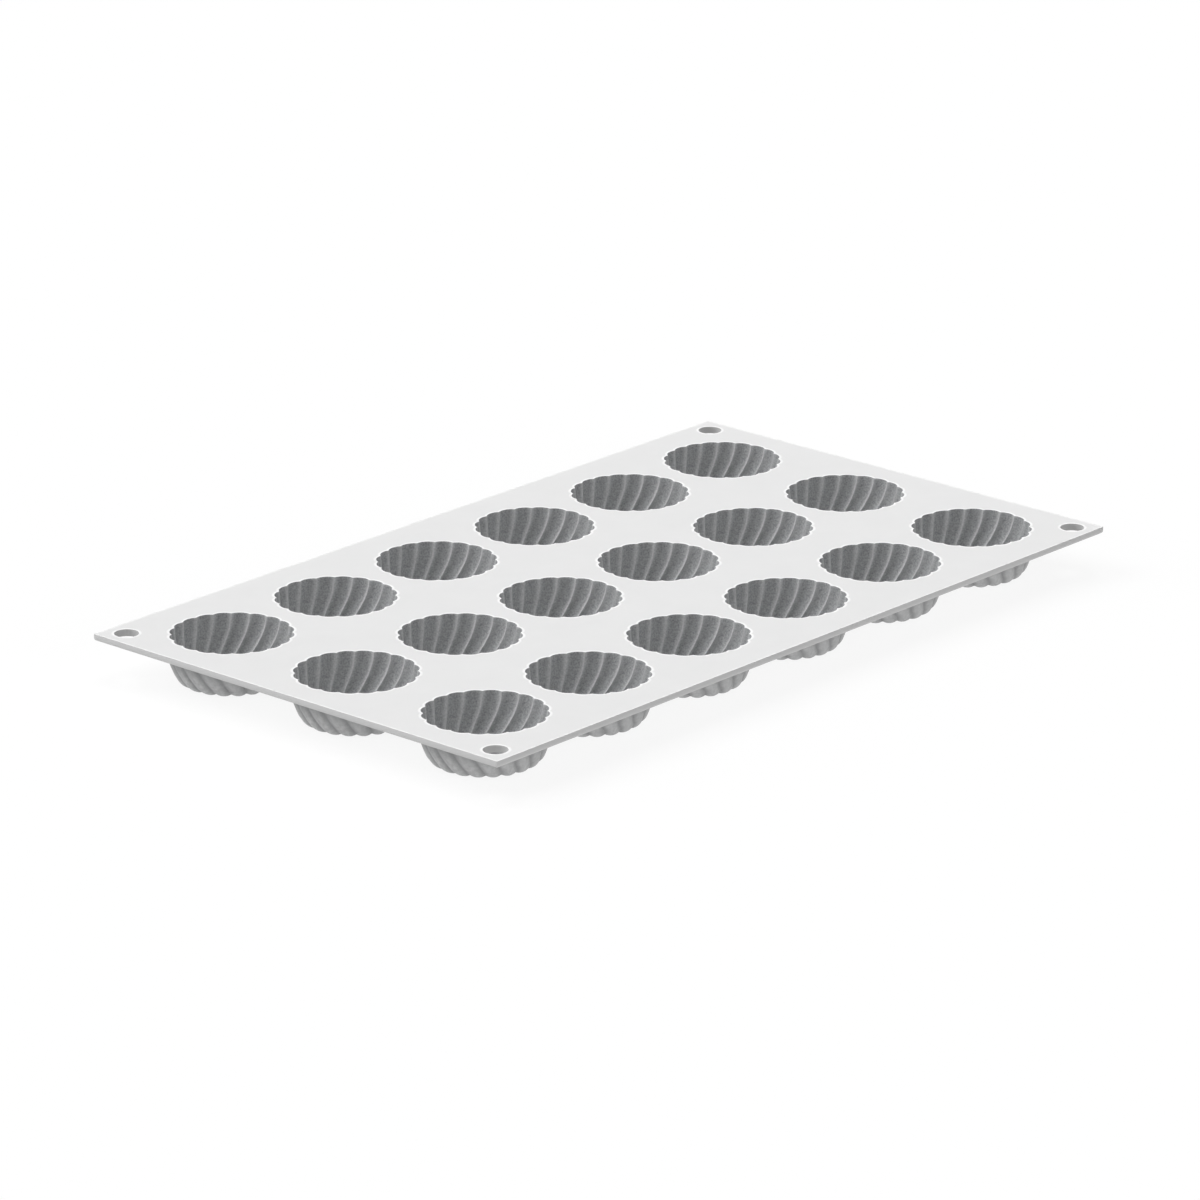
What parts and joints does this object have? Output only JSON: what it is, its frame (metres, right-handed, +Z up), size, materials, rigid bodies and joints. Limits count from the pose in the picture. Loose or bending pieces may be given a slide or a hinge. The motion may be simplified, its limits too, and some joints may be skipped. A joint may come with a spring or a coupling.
{
  "type": "silicone cake mould",
  "caption": "Flat rectangular silicone baking mould with rows of round cups whose flutes swirl down to flat floors, and a round hanging hole in each corner.",
  "frame": {"origin": "middle of the footprint, on the surface that the cups' flat bases stand on", "axes": "+X along the sheet's long side, +Y along its short side, +Z up, out of the cups' mouths"},
  "size_m": [0.3, 0.175, 0.0162],
  "materials": {
    "sheet_silicone": "matt light grey silicone",
    "cup_silicone": "matt mid grey silicone"
  },
  "bodies": {
    "root": {"sheet": "sheet_silicone", "cup_row1_col1": "cup_silicone", "cup_row1_col2": "cup_silicone", "cup_row1_col3": "cup_silicone", "cup_row1_col4": "cup_silicone", "cup_row1_col5": "cup_silicone", "cup_row1_col6": "cup_silicone", "cup_row2_col1": "cup_silicone", "cup_row2_col2": "cup_silicone", "cup_row2_col3": "cup_silicone", "cup_row2_col4": "cup_silicone", "cup_row2_col5": "cup_silicone", "cup_row2_col6": "cup_silicone", "cup_row3_col1": "cup_silicone", "cup_row3_col2": "cup_silicone", "cup_row3_col3": "cup_silicone", "cup_row3_col4": "cup_silicone", "cup_row3_col5": "cup_silicone", "cup_row3_col6": "cup_silicone"}
  },
  "joints": []
}
